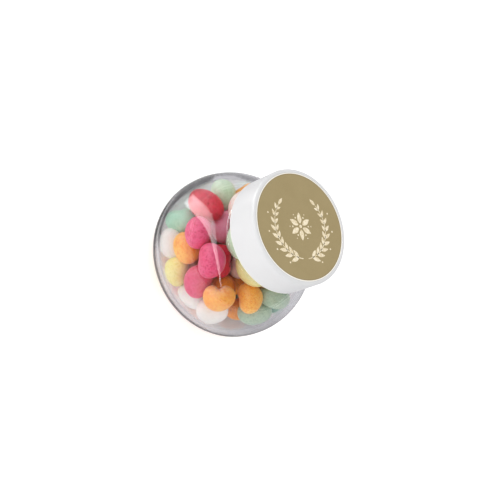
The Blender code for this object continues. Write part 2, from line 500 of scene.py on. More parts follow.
# ------------------------------------------------------------------ the cap
skirt = CAP_RADIUS - CAP_WALL
ceiling = CAP_TOP - RECESS_DEPTH - CAP_PLATE
inner_side = line((skirt, ceiling - 0.6), (skirt, CAP_RIM + 0.15), 46)
cap_rows = (
    [(0.0, ceiling)]
    + line((0.0, ceiling), (skirt - 0.6, ceiling), 6)
    + arc(skirt - 0.6, ceiling - 0.6, 0.6, 90.0, 0.0, 5)[1:]
    + inner_side
    + [(skirt + 0.15, CAP_RIM)]
    + arc(CAP_RADIUS - RIM_ROUND, CAP_RIM + RIM_ROUND, RIM_ROUND, -90.0, 0.0, 6)
    + line((CAP_RADIUS, CAP_RIM + RIM_ROUND), (CAP_RADIUS, CAP_TOP - CAP_ROUND), 10)
    + arc(CAP_RADIUS - CAP_ROUND, CAP_TOP - CAP_ROUND, CAP_ROUND, 0.0, 90.0, 10)[1:]
    + [
        (RECESS_RADIUS + 0.08, CAP_TOP),
        (RECESS_RADIUS + 0.02, CAP_TOP - 0.05),
        (RECESS_RADIUS, CAP_TOP - 0.1),
        (RECESS_RADIUS, CAP_TOP - RECESS_DEPTH + 0.08),
        (RECESS_RADIUS - 0.08, CAP_TOP - RECESS_DEPTH),
        (RECESS_RADIUS - 1.0, CAP_TOP - RECESS_DEPTH),
        (0.0, CAP_TOP - RECESS_DEPTH),
    ]
)
bead_rows = {
    i for i, (r, z) in enumerate(cap_rows) if abs(r - skirt) < 1e-6 and z < ceiling
}
cap = turned(
    "cap_white",
    cap_rows,
    192,
    lambda turn, z: -BEAD_HEIGHT * thread(turn, z, 1.5, THREAD_TOP - THREAD_PITCH / 2),
    bead_rows,
)
cap.data.set_sharp_from_angle(angle=math.radians(50.0))
belongs(cap, "cap", cap_material())

# ------------------------------------------------------------------ the label
label_low = CAP_TOP - RECESS_DEPTH + 0.02
label_high = CAP_TOP - 0.1
label_rows = (
    [(0.0, label_low)]
    + line((0.0, label_low), (LABEL_EDGE - 0.04, label_low), 4)
    + [(LABEL_EDGE, label_low + 0.04), (LABEL_EDGE, label_high - 0.05)]
    + [(LABEL_EDGE - 0.05, label_high)]
    + [(LABEL_EDGE * f, label_high) for f in (0.97, 0.8, 0.6, 0.4, 0.2)]
    + [(0.0, label_high)]
)
label = turned("label_disc", label_rows, 192)
label.data.set_sharp_from_angle(angle=math.radians(40.0))
belongs(label, "label", label_material())


def leaf(length, width):
    """Outline of an almond leaf from its stalk at the origin along +X."""
    steps, side = 14, []
    for i in range(steps + 1):
        t = i / steps
        side.append((length * t, width / 2 * math.sin(math.pi * t**0.85) ** 0.9))
    return side + [(x, -y) for x, y in side[-2:0:-1]]


def ornament():
    """A ring of paired leaves, open at the top, with a small flower inside."""
    shapes = []

    def place(outline, x, y, angle):
        c, s = math.cos(angle), math.sin(angle)
        shapes.append([(x + c * px - s * py, y + s * px + c * py) for px, py in outline])

    def ring(radius, x, y, steps=18):
        return [
            (x + radius * math.cos(2 * math.pi * i / steps), y + radius * math.sin(2 * math.pi * i / steps))
            for i in range(steps)
        ]

    stem = 11.6
    for side in (-1, 1):
        # The stem, a thin curved strip.
        outer, inner = [], []
        for i in range(41):
            t = math.radians(-90 + side * (6 + 126 * i / 40))
            half = 0.11 + 0.05 * (1 - i / 40)
            outer.append(((stem + half) * math.cos(t), (stem + half) * math.sin(t)))
            inner.append(((stem - half) * math.cos(t), (stem - half) * math.sin(t)))
        shapes.append(("strip", outer, inner))
        for i in range(9):
            t = math.radians(-90 + side * (16 + 13.2 * i))
            grow = 1.0 - 0.045 * i
            x, y = stem * math.cos(t), stem * math.sin(t)
            ahead = t + side * math.pi / 2
            place(leaf(3.9 * grow, 1.5 * grow), x, y, ahead - side * 0.62)
            place(leaf(3.4 * grow, 1.35 * grow), x, y, ahead + side * 0.66)
            if i % 2 == 1:
                out = 14.9 - 0.02 * i
                shapes.append(ring(0.34, out * math.cos(t + side * 0.02), out * math.sin(t + side * 0.02)))
        t = math.radians(-90 + side * 133)
        place(leaf(3.0, 1.2), stem * math.cos(t), stem * math.sin(t), t + side * math.pi / 2)
    for k in range(6):
        a = math.radians(90 + 60 * k)
        place(leaf(4.0, 1.9), 1.1 * math.cos(a), 1.1 * math.sin(a), a)
        b = math.radians(120 + 60 * k)
        shapes.append(ring(0.32, 3.6 * math.cos(b), 3.6 * math.sin(b)))
        shapes.append(ring(0.22, 4.9 * math.cos(b), 4.9 * math.sin(b)))
    shapes.append(ring(0.62, 0.0, 0.0, 24))
    return shapes


def print_mesh(low, high, angle):
    points, faces = [], []
    c, s = math.cos(angle), math.sin(angle)

    def add(outline, z):
        first = len(points)
        points.extend(((c * x - s * y) * MM, (s * x + c * y) * MM, z * MM) for x, y in outline)
        return list(range(first, first + len(outline)))

    for shape in ornament():
        if shape[0] == "strip":
            outer, inner = shape[1], shape[2]
            bottom_o, bottom_i = add(outer, low), add(inner, low)
            top_o, top_i = add(outer, high), add(inner, high)
            n = len(outer)
            for k in range(n - 1):
                quads = [
                    (top_o[k], top_o[k + 1], top_i[k + 1], top_i[k]),
                    (bottom_o[k + 1], bottom_o[k], bottom_i[k], bottom_i[k + 1]),
                    (bottom_o[k], bottom_o[k + 1], top_o[k + 1], top_o[k]),
                    (bottom_i[k + 1], bottom_i[k], top_i[k], top_i[k + 1]),
                ]
                faces.extend(quads)
            faces.append((bottom_o[0], top_o[0], top_i[0], bottom_i[0]))
            faces.append((top_o[-1], bottom_o[-1], bottom_i[-1], top_i[-1]))
            continue
        area = sum(
            a[0] * b[1] - b[0] * a[1] for a, b in zip(shape, shape[1:] + shape[:1])
        )
        outline = shape if area > 0 else shape[::-1]
        bottom, top = add(outline, low), add(outline, high)
        n = len(outline)
        faces.append(tuple(top))
        faces.append(tuple(bottom[::-1]))
        for k in range(n):
            j = (k + 1) % n
            faces.append((bottom[k], bottom[j], top[j], top[k]))
    return points, faces


# The ornament's own up direction, seen upright in the photograph.
up_on_label = Vector((UP.x, UP.y)).normalized()
ink_angle = math.atan2(up_on_label.y, up_on_label.x) - math.pi / 2
ink_points, ink_faces = print_mesh(label_high - 0.01, label_high + 0.015, ink_angle)
ink = shown("label_ornament", ink_points, ink_faces, smooth=False)
import bmesh

made = bmesh.new()
made.from_mesh(ink.data)
bmesh.ops.recalc_face_normals(made, faces=made.faces)
made.to_mesh(ink.data)
made.free()
belongs(ink, None, ink_material())

# ------------------------------------------------------------------ the beans
# What the photograph shows of each bean, the foremost first: its middle in the
# 500 x 500 frame, its kind, the turn of its length in the frame (degrees from
# the frame's right), how far its length leans towards the eye, its size, and the
# turn of its hollow side about its length.
SEEN = (
    (210.2, 261.0, "rose", 85, 5, 0.98, 180),
    (219.0, 298.0, "amber", 0, 0, 0.93, 0),
    (197.5, 232.2, "rose", 78, 0, 0.94, 90),
    (206.5, 205.0, "crimson", -32, 0, 1.08, 90),
    (198.0, 281.5, "rose", 70, 20, 1.02, 180),
    # The mint bean by the cap takes the paler leaf shell, a painted highlight for the glare on it.
    (234.2, 243.0, "leaf", 80, 10, 0.98, 0),
    (219.5, 261.0, "crimson", 85, 5, 1.00, 0),
    (248.0, 273.0, "lemon", -50, 10, 1.00, 90),
    (249.3, 298.0, "amber", 96, 0, 0.92, 180),
    (224.5, 227.2, "rose_painted_pale", 75, 10, 0.96, 0),
    (275.0, 297.5, "sage", -18, 10, 0.92, 90),
    (186.0, 248.0, "amber", 105, 0, 0.94, 90),
    (178.5, 218.3, "mint", 10, 10, 0.96, 0),
    (177.5, 270.5, "lemon", 75, 20, 0.94, 0),
    (259.5, 320.5, "sage", 8, 0, 1.04, 90),
    (187.5, 299.5, "ivory", -25, 20, 1.0, 90),
    (207.5, 321.5, "ivory", -8, 0, 0.95, 90),
    (221.0, 192.8, "leaf", 80, 10, 1.00, 180),
    (241.5, 207.5, "blush", 75, 20, 0.95, 0),
    (239.5, 266.0, "blush", 60, 10, 0.90, 0),
    (169.5, 243.0, "ivory", 95, 0, 0.92, 0),
    (234.0, 281.0, "amber_in_shade", 40, 10, 0.98, 0),
    (237.0, 311.0, "amber_in_shade", 20, 20, 0.88, 0),
    (279.5, 308.0, "fern", 60, 20, 0.78, 0),
    (284.0, 290.0, "fern", 40, 20, 0.85, 0),
    (247.8, 189.0, "amber", 30, 30, 0.95, 0),
)
# The colour of a bean behind one of these: behind rose and amber a deeper shell, partly real bean colours
# and partly painted shade for the gaps between beans.
BETWEEN = {
    "rose": "crimson",
    "rose_painted_pale": "rose_painted_pale",
    "crimson": "rose",
    "amber": "amber_in_shade",
    "amber_in_shade": "amber_in_shade",
    "lemon": "lemon",
    "mint": "ivory",
    "leaf": "leaf",
    "sage": "sage",
    "fern": "sage",
    "ivory": "ivory",
    "blush": "blush",
}
# Through these places, in pixels, the free glass beside the beans is seen.
FREE = ((217.0, 325.0), (226.0, 324.5), (234.0, 325.0), (184.0, 206.0), (158.0, 270.0))
HINDMOST = ("fern",)  # these lie behind their neighbours
NOTCHED = 1  # the one whose deep hollow faces up in the frame
FILL = ("rose", "amber", "mint", "ivory", "lemon", "leaf", "crimson", "sage", "blush")
N_FILL = 46
MOST_SQUEEZE = 1.25

BEAN_LENGTH, BEAN_WIDTH, BEAN_THICK, BEAN_BEND = 12.4, 10.2, 9.8, 0.7
# Three balls stand for one bean while it settles.
BALL, BALL_OFF = 4.85, 1.4
HEAP_TOP = 42.4  # the neck above stays free
CLEAR = 0.0  # between the wall and the beans that show
BALLS = np.array([(-BALL_OFF, 0.25, 0.0), (0.0, -0.2, 0.0), (BALL_OFF, 0.25, 0.0)])


# Both faces of the glass as paths in (radius, height), floor to ceiling.
WALL_PATH = np.array(inside[:-8] + [(16.5, 58.2), (0.0, 58.2)])
SKIN_PATH = np.array(outside[:-8] + [(18.7, 58.2), (0.0, 58.2)])


def wall_gap(r, z, path=WALL_PATH):
    """Distance from points inside to the wall, and the way in from there. The
    distance is negative outside."""
    a, b = path[:-1], path[1:]
    d = b - a
    p = np.stack([r, z], -1)[:, None, :] - a[None]
    t = np.clip((p * d).sum(-1) / (d * d).sum(-1), 0, 1)
    off = p - t[..., None] * d
    far = np.hypot(off[..., 0], off[..., 1])
    best = far.argmin(1)
    rows = np.arange(len(r))
    side = d[best][:, 0] * p[rows, best][:, 1] - d[best][:, 1] * p[rows, best][:, 0]
    sign = np.where(side > 0, 1.0, -1.0)
    away = off[rows, best] / np.maximum(far[rows, best], 1e-9)[:, None]
    return sign * far[rows, best], away * sign[:, None]


def frame_of(length_dir, turn_deg):
    """Rotation whose first axis is the bean's length."""
    x = np.array(length_dir, float)
    x /= np.linalg.norm(x)
    up = np.array(UP) if abs(np.dot(x, UP)) < 0.9 else np.array(RIGHT)
    y = up - np.dot(up, x) * x
    y /= np.linalg.norm(y)
    z = np.cross(x, y)
    a = math.radians(turn_deg)
    y, z = math.cos(a) * y + math.sin(a) * z, -math.sin(a) * y + math.cos(a) * z
    return np.stack([x, y, z], 1)


def crossing(p, way, path, first, last, enters):
    """Where a line from p first passes that face, with the way in there."""
    steps = np.arange(first, last, 0.1)
    line_points = p + way * steps[:, None]
    r = np.hypot(line_points[:, 0], line_points[:, 1])
    gap, _ = wall_gap(r, line_points[:, 2], path)
    met = np.nonzero(gap > 0.0)[0] if enters else np.nonzero(gap < 0.0)[0]
    if len(met) == 0:
        return None, None
    q = line_points[met[0]] - way * 0.05
    r = math.hypot(q[0], q[1])
    # The way in, from a little inside, where the nearest face is plain.
    _, away = wall_gap(np.array([r]), np.array([q[2]]), path)
    inward = np.array([away[0][0] * q[0] / r, away[0][0] * q[1] / r, away[0][1]])
    return q, inward / np.linalg.norm(inward)


def bent(way, inward, ratio):
    """The way on through a face, bent as glass bends it, or None."""
    c = float(np.dot(inward, way))
    k = 1.0 - ratio * ratio * (1.0 - c * c)
    if k < 0.0:
        return None
    return ratio * way + (math.sqrt(k) - ratio * c) * inward


def into_jar(x, y):
    """Point and direction, inside the glass, of what is seen at this pixel."""
    eye, way = np.array(EYE), np.array(seen_through(x, y))
    hit, inward = crossing(eye, way, SKIN_PATH, 330.0, 450.0, True)
    if hit is None:
        return eye + way * (DISTANCE - 10.0), way
    inner = bent(way, inward, 1.0 / 1.5)
    q, inward = crossing(hit, inner, WALL_PATH, 0.3, 24.0, True)
    if q is None:
        return hit + way * 6.0, way
    out = bent(inner, inward, 1.5)
    return q, (way if out is None else out)


def gap_at(p):
    gap, away = wall_gap(np.array([math.hypot(p[0], p[1])]), np.array([p[2]]))
    return gap[0], away[0]


def balls_of(place, turn, size):
    arm = turn @ (BALLS * size).T
    return place + arm.T


def first_place(x, y, turn, size, placed, behind):
    """Where a bean seen at this pixel lies: as near as the glass and the beans
    already placed in front of it allow."""
    p, way = into_jar(x, y)
    best, most = None, -1e9
    for step in np.arange(0.0, 34.0, 0.2):
        q = p + way * step
        # A place too near the wall gives way inwards.
        for _ in range(4):
            balls = balls_of(q, turn, size)
            gaps = [gap_at(b) for b in balls]
            tight = int(np.argmin([g for g, _ in gaps]))
            short = BALL * size + CLEAR - gaps[tight][0]
            if short <= 0.0:
                break
            b, away = balls[tight], gaps[tight][1]
            flat = max(math.hypot(b[0], b[1]), 1e-6)
            q = q + short * np.array([away[0] * b[0] / flat, away[0] * b[1] / flat, away[1]])
        if q[2] + BALL * size > HEAP_TOP:
            continue
        shifted = np.linalg.norm(q - p - way * step)
        room = min(0.0, 0.3 - 0.5 * shifted)
        ahead = (q - np.array(BELLY)) @ np.array(BACK)
        for _, _, x2, y2, ahead2 in placed:
            if behind and math.hypot(x - x2, y - y2) < 30.0:
                room -= 0.5 * max(0.0, ahead - ahead2 + 1.0)
        if placed:
            others = np.concatenate([b for b, *_ in placed])
            radii = np.concatenate([[r] * 3 for _, r, *_ in placed])
            balls = balls_of(q, turn, size)
            far = np.linalg.norm(balls[:, None] - others[None], axis=-1)
            room += min(0.0, (far - radii[None] - BALL * size).min() + 0.35)
        if room >= 0.0:
            best = q
            break
        if room > most:
            best, most = q, room
    return best


def settle():
    rng = np.random.default_rng(11)
    eye, back = np.array(EYE), np.array(BACK)
    pos, rot, size, kind = [], [], [], []
    placed = []
    for x, y, name, angle, lean, scale, hollow in SEEN:
        a, l = math.radians(angle), math.radians(lean)
        way = (
            math.cos(l) * (math.cos(a) * np.array(RIGHT) + math.sin(a) * np.array(UP))
            + math.sin(l) * np.array(BACK)
        )
        rot.append(frame_of(way, hollow))
        pos.append(first_place(x, y, rot[-1], scale, placed, name in HINDMOST))
        ahead = (pos[-1] - np.array(BELLY)) @ back
        placed.append((balls_of(pos[-1], rot[-1], scale), BALL * scale, x, y, ahead))
        size.append(scale)
        kind.append(name)
    fixed = len(pos)
    for i in range(N_FILL):
        while True:
            p = rng.uniform((-24, -24, 7), (24, 24, 40))
            gap, _ = wall_gap(np.array([math.hypot(p[0], p[1])]), np.array([p[2]]))
            apart = min(np.linalg.norm(p - q) for q in pos)
            if gap[0] > 4.0 and apart > 6.0:
                break
            if rng.random() < 0.02 and gap[0] > 3.0:
                break
        pos.append(p)
        v = rng.normal(size=3)
        rot.append(frame_of(v, rng.uniform(0, 360)))
        size.append(rng.uniform(0.94, 1.04))
        kind.append(FILL[i % len(FILL)])
    pos, rot, size = np.array(pos), np.array(rot), np.array(size)
    n = len(pos)
    local = BALLS
    radius = np.repeat(BALL * size, 3)
    owner = np.repeat(np.arange(n), 3)
    other = owner[:, None] != owner[None]
    rounds = 800
    for step in range(rounds):
        calm = 1.0 - step / rounds
        arm = np.einsum("nij,kj->nki", rot, local) * size[:, None, None]
        ball = (pos[:, None] + arm).reshape(-1, 3)
        apart = ball[:, None] - ball[None]
        far = np.sqrt((apart**2).sum(-1)) + 1e-9
        deep = np.where(other, radius[:, None] + radius[None] - far, 0.0)
        deep = np.maximum(deep, 0.0)
        count = np.maximum((deep > 0).sum(1), 1)
        push = (apart / far[..., None] * deep[..., None] * 0.5).sum(1)
        push *= (1.5 / np.sqrt(count))[:, None]
        gap, away = wall_gap(np.hypot(ball[:, 0], ball[:, 1]), ball[:, 2])
        into = np.maximum(radius + 0.05 - gap, 0.0)
        flat = np.maximum(np.hypot(ball[:, 0], ball[:, 1]), 1e-6)
        push[:, 0] += into * away[:, 0] * ball[:, 0] / flat
        push[:, 1] += into * away[:, 0] * ball[:, 1] / flat
        push[:, 2] += into * away[:, 1]
        push[:, 2] -= np.maximum(ball[:, 2] + radius - HEAP_TOP, 0.0)
        push = push.reshape(n, 3, 3)
        move = push.mean(1)
        twist = np.cross(arm, push).sum(1) / ((arm**2).sum((1, 2)) + 6.0)[:, None]
        move[fixed:, 2] -= 0.10 * min(1.0, 2.5 * calm)
        # The others stay behind those that the photograph shows, unless the cap
        # hides them.
        sight = pos[fixed:] - eye
        at_rim = eye + sight * ((CAP_RIM - eye[2]) / sight[:, 2])[:, None]
        open_view = np.hypot(at_rim[:, 0], at_rim[:, 1]) > CAP_RADIUS - 6.0
        off = pos[fixed:] - np.array(BELLY)
        depth = off @ back
        beside = np.sqrt(np.maximum((off**2).sum(1) - depth**2, 0.0))
        front = np.sqrt(np.maximum(28.8**2 - beside**2, 0.0))
        open_view = open_view * min(1.0, 4.0 * calm)
        near = np.clip(14.0 - (front - depth), 0.0, 6.0) * open_view
        move[fixed:] -= near[:, None] * back * 0.25
        wide = np.clip(beside - 20.5, 0.0, 4.0) * open_view / np.maximum(beside, 1e-6)
        move[fixed:] -= (off - depth[:, None] * back) * wide[:, None] * 0.5
        move[:fixed] = 0.0
        reach = np.linalg.norm(move, axis=1, keepdims=True)
        move *= np.minimum(1.0, 1.2 / np.maximum(reach, 1e-9))
        pos = pos + move * 0.8
        twist[:fixed] = 0.0
        angle = np.linalg.norm(twist, axis=1)
        for i in np.nonzero(angle > 1e-5)[0]:
            a = min(angle[i], 0.15)
            k = twist[i] / angle[i]
            m = np.array(Matrix.Rotation(a, 3, Vector(k)))
            rot[i] = m @ rot[i]
    # The unseen beans that found no room are left out, the tightest first, and
    # so are those that came before the seen ones.
    sight = pos - eye
    at_rim = eye + sight * ((CAP_RIM - eye[2]) / sight[:, 2])[:, None]
    off = pos - np.array(BELLY)
    depth = off @ back
    beside = np.sqrt(np.maximum((off**2).sum(1) - depth**2, 0.0))
    front = np.sqrt(np.maximum(28.8**2 - beside**2, 0.0))
    stray = (np.hypot(at_rim[:, 0], at_rim[:, 1]) > CAP_RADIUS - 4.0) & (front - depth < 11.0)
    for x, y in FREE:
        p, way = into_jar(x, y)
        way = way / np.linalg.norm(way)
        for i in range(fixed, n):
            off = balls_of(pos[i], rot[i], size[i]) - p
            aside = np.linalg.norm(off - (off @ way)[:, None] * way, axis=1).min()
            stray[i] |= aside < BALL * size[i] and pos[i] @ back > -12.0 + np.array(BELLY) @ back
    while True:
        squeeze = deep.max(1).reshape(n, 3).max(1)
        squeeze += np.where(stray | (pos[:, 2] > HEAP_TOP - 4.6), 9.0, 0.0)
        squeeze[:fixed] = 0.0
        worst = int(squeeze.argmax())
        if squeeze[worst] < MOST_SQUEEZE:
            break
        keep = np.arange(n) != worst
        deep = deep[np.repeat(keep, 3)][:, np.repeat(keep, 3)]
        pos, rot, size, stray = pos[keep], rot[keep], size[keep], stray[keep]
        kind.pop(worst)
        n -= 1
    # What shows between the seen beans takes a colour after the nearest of them, deeper behind rose and
    # amber as painted shade in the gaps.
    seen_at = np.array([(x, y) for x, y, *_ in SEEN])
    for i in range(fixed, n):
        off = pos[i] - eye
        scale = -DISTANCE / (off @ back)
        x = 250.0 + PX_PER_MM * scale * (off @ np.array(RIGHT))
        y = 250.0 - PX_PER_MM * scale * (off @ np.array(UP))
        ahead = (pos[i] - np.array(BELLY)) @ back
        if ahead > -9.0:
            kind[i] = BETWEEN[kind[((seen_at - (x, y)) ** 2).sum(1).argmin()]]
    deepest = deep.max(1).reshape(n, 3).max(1)
    return pos, rot, size, kind, deepest


def bean_form(length, width, thick, bend, twist, lumps, hollow=0.55, narrow=0.34):
    """Points and faces of one bean: a bent, slightly lopsided egg with a soft
    dimple on its hollow side."""
    rows, cols = 24, 32
    points, faces, dust_and_highlight = [], [], []
    for i in range(rows + 1):
        u = math.pi * i / rows
        x = -math.cos(u)
        ring = math.sin(u) ** 0.94
        w = width / 2 * ring * (1 + 0.05 * twist * x)
        t = thick / 2 * ring * (1 + 0.04 * twist * x)
        middle = bend * (x * x - 0.4)
        dimple = hollow * math.exp(-abs(x / narrow) ** 1.6)
        ends = [None] if i in (0, rows) else range(cols)
        near = math.exp(-((x / (0.55 if hollow > 1.5 else 0.7)) ** 2))
        for j in ends:
            v = 0.0 if j is None else 2 * math.pi * j / cols
            c, s = math.cos(v), math.sin(v)
            y = w * c - (dimple * max(c, 0.0) ** 2 if ring > 0.2 else 0.0)
            lump = 1 + 0.012 * (
                math.sin(3.1 * x + lumps) * math.cos(2 * v + lumps * 1.7)
                + 0.6 * math.sin(5.3 * x - 2.2 * lumps + v)
            )
            points.append((x * length / 2, (y * lump + middle), t * s * lump))
            # Pale in the hollow: faint sugar dust on most beans, and on the notched bean a painted
            # highlight.
            dust_and_highlight_mix = 0.62 * max(c, 0.0) ** 1.3 if hollow > 1.5 else 0.12 * hollow * max(c, 0.0) ** 3
            dust_and_highlight.append(near * dust_and_highlight_mix)
    def at(i, j):
        if i == 0:
            return 0
        if i == rows:
            return len(points) - 1
        return 1 + (i - 1) * cols + j % cols
    for i in range(rows):
        for j in range(cols):
            if i == 0:
                faces.append((0, at(1, j + 1), at(1, j)))
            elif i == rows - 1:
                faces.append((at(i, j), at(i, j + 1), at(rows, 0)))
            else:
                faces.append((at(i, j), at(i, j + 1), at(i + 1, j + 1), at(i + 1, j)))
    return np.array(points), faces, dust_and_highlight


pos, rot, size, kind, deepest = settle()
print(
    f"beans {len(pos)}, overlap {deepest.max():.2f} mm at most and {deepest.mean():.2f} on average, top at {pos[:, 2].max() + BALL:.1f} mm"
)

SHELLS = {
    "rose": (linear(236, 52, 110), linear(244, 106, 150), linear(192, 20, 66), 0.5),
    # This pale pink shell is rose painted paler: painted light for the rose bean in the cap's shade.
    "rose_painted_pale": (linear(255, 158, 194), linear(255, 196, 218), linear(244, 110, 154), 0.3),
    "crimson": (linear(244, 0, 46), linear(250, 20, 82), linear(164, 0, 18), 0.95),
    "amber": (linear(254, 162, 32), linear(255, 204, 100), linear(232, 102, 4), 0.2),
    # This deeper orange shell is amber painted darker: painted shade for the orange beans that lie in shade
    # behind others.
    "amber_in_shade": (linear(242, 142, 12), linear(248, 164, 38), linear(168, 80, 4), 0.6),
    "lemon": (linear(245, 232, 142), linear(248, 240, 182), linear(222, 206, 104), 0.3),
    "mint": (linear(190, 226, 202), linear(210, 236, 218), linear(140, 196, 166), 0.3),
    "leaf": (linear(204, 230, 198), linear(220, 238, 212), linear(164, 200, 156), 0.2),
    "sage": (linear(160, 184, 158), linear(178, 198, 174), linear(118, 150, 126), 0.3),
    "fern": (linear(120, 164, 146), linear(140, 180, 160), linear(86, 130, 112), 0.3),
    "ivory": (linear(238, 231, 227), linear(245, 241, 238), linear(224, 213, 208), 0.1),
    "blush": (linear(240, 212, 202), linear(246, 226, 218), linear(222, 172, 160), 0.2),
}
rng = np.random.default_rng(5)
first_of_kind = True
heap_points = {name: [] for name in SHELLS}
heap_faces = {name: [] for name in SHELLS}
heap_tones = {name: [] for name in SHELLS}
heap_dust_and_highlight = {name: [] for name in SHELLS}
for i in range(len(pos)):
    form, form_faces, dust_and_highlight = bean_form(
        BEAN_LENGTH * rng.uniform(0.97, 1.04),
        BEAN_WIDTH,
        BEAN_THICK,
        BEAN_BEND * rng.uniform(0.7, 1.2),
        rng.uniform(-1, 1),
        rng.uniform(0, 6.28),
        *((1.9, 0.24) if i == NOTCHED else (rng.uniform(0.4, 1.0), 0.34)),
    )
    world = (form * size[i]) @ rot[i].T + pos[i]
    # What would reach into the glass lies flat against it instead.
    for _ in range(2):
        flat = np.maximum(np.hypot(world[:, 0], world[:, 1]), 1e-6)
        gap, away = wall_gap(flat, world[:, 2])
        short = np.maximum(0.0, 0.06 - gap)
        world[:, :2] += (short * away[:, 0] / flat)[:, None] * world[:, :2]
        world[:, 2] += short * away[:, 1]
    name = kind[i]
    start = len(heap_points[name])
    heap_points[name].extend((world * MM).tolist())
    heap_faces[name].extend(tuple(start + k for k in face) for face in form_faces)
    heap_tones[name].extend([float(rng.uniform(0, 1))] * len(world))
    heap_dust_and_highlight[name].extend(dust_and_highlight)
for name, (main, pale, dark, specks) in SHELLS.items():
    beans = shown("beans_" + name, heap_points[name], heap_faces[name])
    tones = beans.data.attributes.new("tone", "FLOAT", "POINT")
    tones.data.foreach_set("value", heap_tones[name])
    dust_and_highlight_layer = beans.data.attributes.new("dust_and_highlight", "FLOAT", "POINT")
    dust_and_highlight_layer.data.foreach_set("value", heap_dust_and_highlight[name])
    belongs(
        beans,
        "jelly_beans",
        bean_material("shell_" + name, main, pale, dark, specks),
    )

# ------------------------------------------------------------------ the studio
FLOOR_DROP = 0.12
low = -FLOOR_DROP * MM
floor = shown(
    "floor", [(-6, -6, low), (6, -6, low), (6, 6, low), (-6, 6, low)], [(0, 1, 2, 3)], False
)
n = Nodes("floor")
n.set(Base_Color=(0.94, 0.94, 0.945, 1.0), Roughness=0.8, Specular_IOR_Level=0.1)
n.set(Emission_Color=(1.0, 1.0, 1.0, 1.0), Emission_Strength=0.30)
floor.data.materials.append(n.material)


def unseen(obj, transmission=False, glossy=False):
    """Leaves a studio piece out of all but what is named."""
    obj.visible_camera = False
    obj.visible_diffuse = False
    obj.visible_shadow = False
    obj.visible_volume_scatter = False
    obj.visible_transmission = transmission
    obj.visible_glossy = glossy


# A grey card under the jar, there for the glass alone: it draws the limb. Its greys are
# painted shadow, the jar's shade on the floor as the glass shows it. For each direction on the floor, in
# degrees:
# the card's grey, where the dark band starts, is full, starts to fade and has faded, in millimetres, and
# its grey.
PAINTED_SHADOW = (
    (12, 0.36, 31.0, 36.0, 900.0, 901.0, 0.45),
    (28, 0.34, 44.0, 52.0, 900.0, 901.0, 0.46),
    (45, 0.46, 45.0, 55.0, 900.0, 901.0, 0.60),
    (90, 0.66, 60.0, 75.0, 900.0, 901.0, 0.56),
    (112, 0.72, 66.0, 76.0, 900.0, 901.0, 0.42),
    (125, 0.72, 66.0, 75.0, 240.0, 300.0, 0.34),
    (137, 0.56, 61.0, 64.0, 73.0, 77.0, 0.20),
    (150, 0.56, 47.0, 49.5, 57.0, 60.0, 0.15),
    (170, 0.56, 35.0, 38.5, 90.0, 120.0, 0.17),
    (187, 0.64, 34.0, 39.0, 90.0, 120.0, 0.12),
    (205, 0.56, 30.6, 34.5, 90.0, 120.0, 0.05),
    (225, 0.68, 30.2, 32.4, 70.0, 100.0, 0.12),
    (243, 0.88, 30.0, 33.0, 60.0, 90.0, 0.45),
    (262, 0.95, 27.0, 32.0, 60.0, 90.0, 0.50),
    (300, 0.97, 27.0, 32.0, 60.0, 90.0, 0.62),
    (335, 0.94, 30.0, 34.0, 60.0, 90.0, 0.66),
    (356, 0.42, 31.0, 36.0, 900.0, 901.0, 0.52),
)


def painted_shadow_grey(angle, distance):
    rows = np.array(PAINTED_SHADOW)
    base, a, b, c, d, deep = (
        np.interp(angle, rows[:, 0], rows[:, k], period=360.0) for k in range(1, 7)
    )
    if distance < c:
        band = min(max((distance - a) / (b - a), 0.0), 1.0)
    else:
        band = min(max((d - distance) / (d - c), 0.0), 1.0)
    return base + (deep - base) * band


rings = [0.0, 12.0, 20.0] + [22.0 + 0.8 * i for i in range(74)] + [90, 105, 130, 250, 700]
around = 180
card_points, card_faces, card_greys = [], [], []
for r in rings:
    for k in range(around):
        a = 2 * math.pi * k / around
        sway = 0.5 * math.sin(5 * a + 0.7) + 0.35 * math.sin(11 * a + 2.0)
        card_points.append((r * math.cos(a) * MM, r * math.sin(a) * MM, low * 0.4))
        grey = float(painted_shadow_grey(math.degrees(a), r + sway))
        card_greys.extend((grey, grey * 0.985, grey * 1.045, 1.0))
for i in range(len(rings) - 1):
    for k in range(around):
        j = (k + 1) % around
        card_faces.append(
            (i * around + k, (i + 1) * around + k, (i + 1) * around + j, i * around + j)
        )
# The card carries painted shadow, seen only through and in the glass.
card = shown("painted_shadow_card", card_points, card_faces, False)
shades = card.data.attributes.new("shade", "FLOAT_COLOR", "POINT")
shades.data.foreach_set("color", card_greys)
n = Nodes("painted_shadow_card")
shade = n.add("ShaderNodeAttribute", attribute_name="shade")
cloud = n.ramp(n.noise(130.0, 2.0), 0.35, 0.7)
n.link(
    n.mix(n.times(cloud, 0.14), shade.outputs["Color"], (0.85, 0.84, 0.87, 1.0)),
    n.shader.inputs["Base Color"],
)
n.set(Roughness=0.9, Specular_IOR_Level=0.0)
card.data.materials.append(n.material)
unseen(card, transmission=True, glossy=True)

# A long curved strip light: the glass shows it as the tapered bright streak.
# Each row is a point of the streak in the 500 x 500 frame and its half width.
STREAK = (
    (188.0, 198.5, 7.0),
    (193.0, 203.5, 7.3),
    (200.2, 210.2, 7.5),
    (206.0, 217.5, 7.0),
    (210.3, 226.2, 5.5),
    (213.0, 236.0, 3.7),
    (214.6, 246.0, 2.2),
    (216.8, 257.0, 1.6),
    (218.8, 268.0, 1.3),
    (220.2, 279.0, 1.0),
    (220.8, 287.0, 0.4),
)


def globe(p):
    """Below 0 inside the globe."""
    r, dz = math.hypot(p[0], p[1]) / BELLY_RADIUS, p[2] - BELLY_HEIGHT
    if dz > 0:
        return r**2 + (dz / FRONT_HALF) ** 2 - 1.0
    return r**BACK_SQUARENESS + (-dz / BACK_HALF) ** BACK_SQUARENESS - 1.0


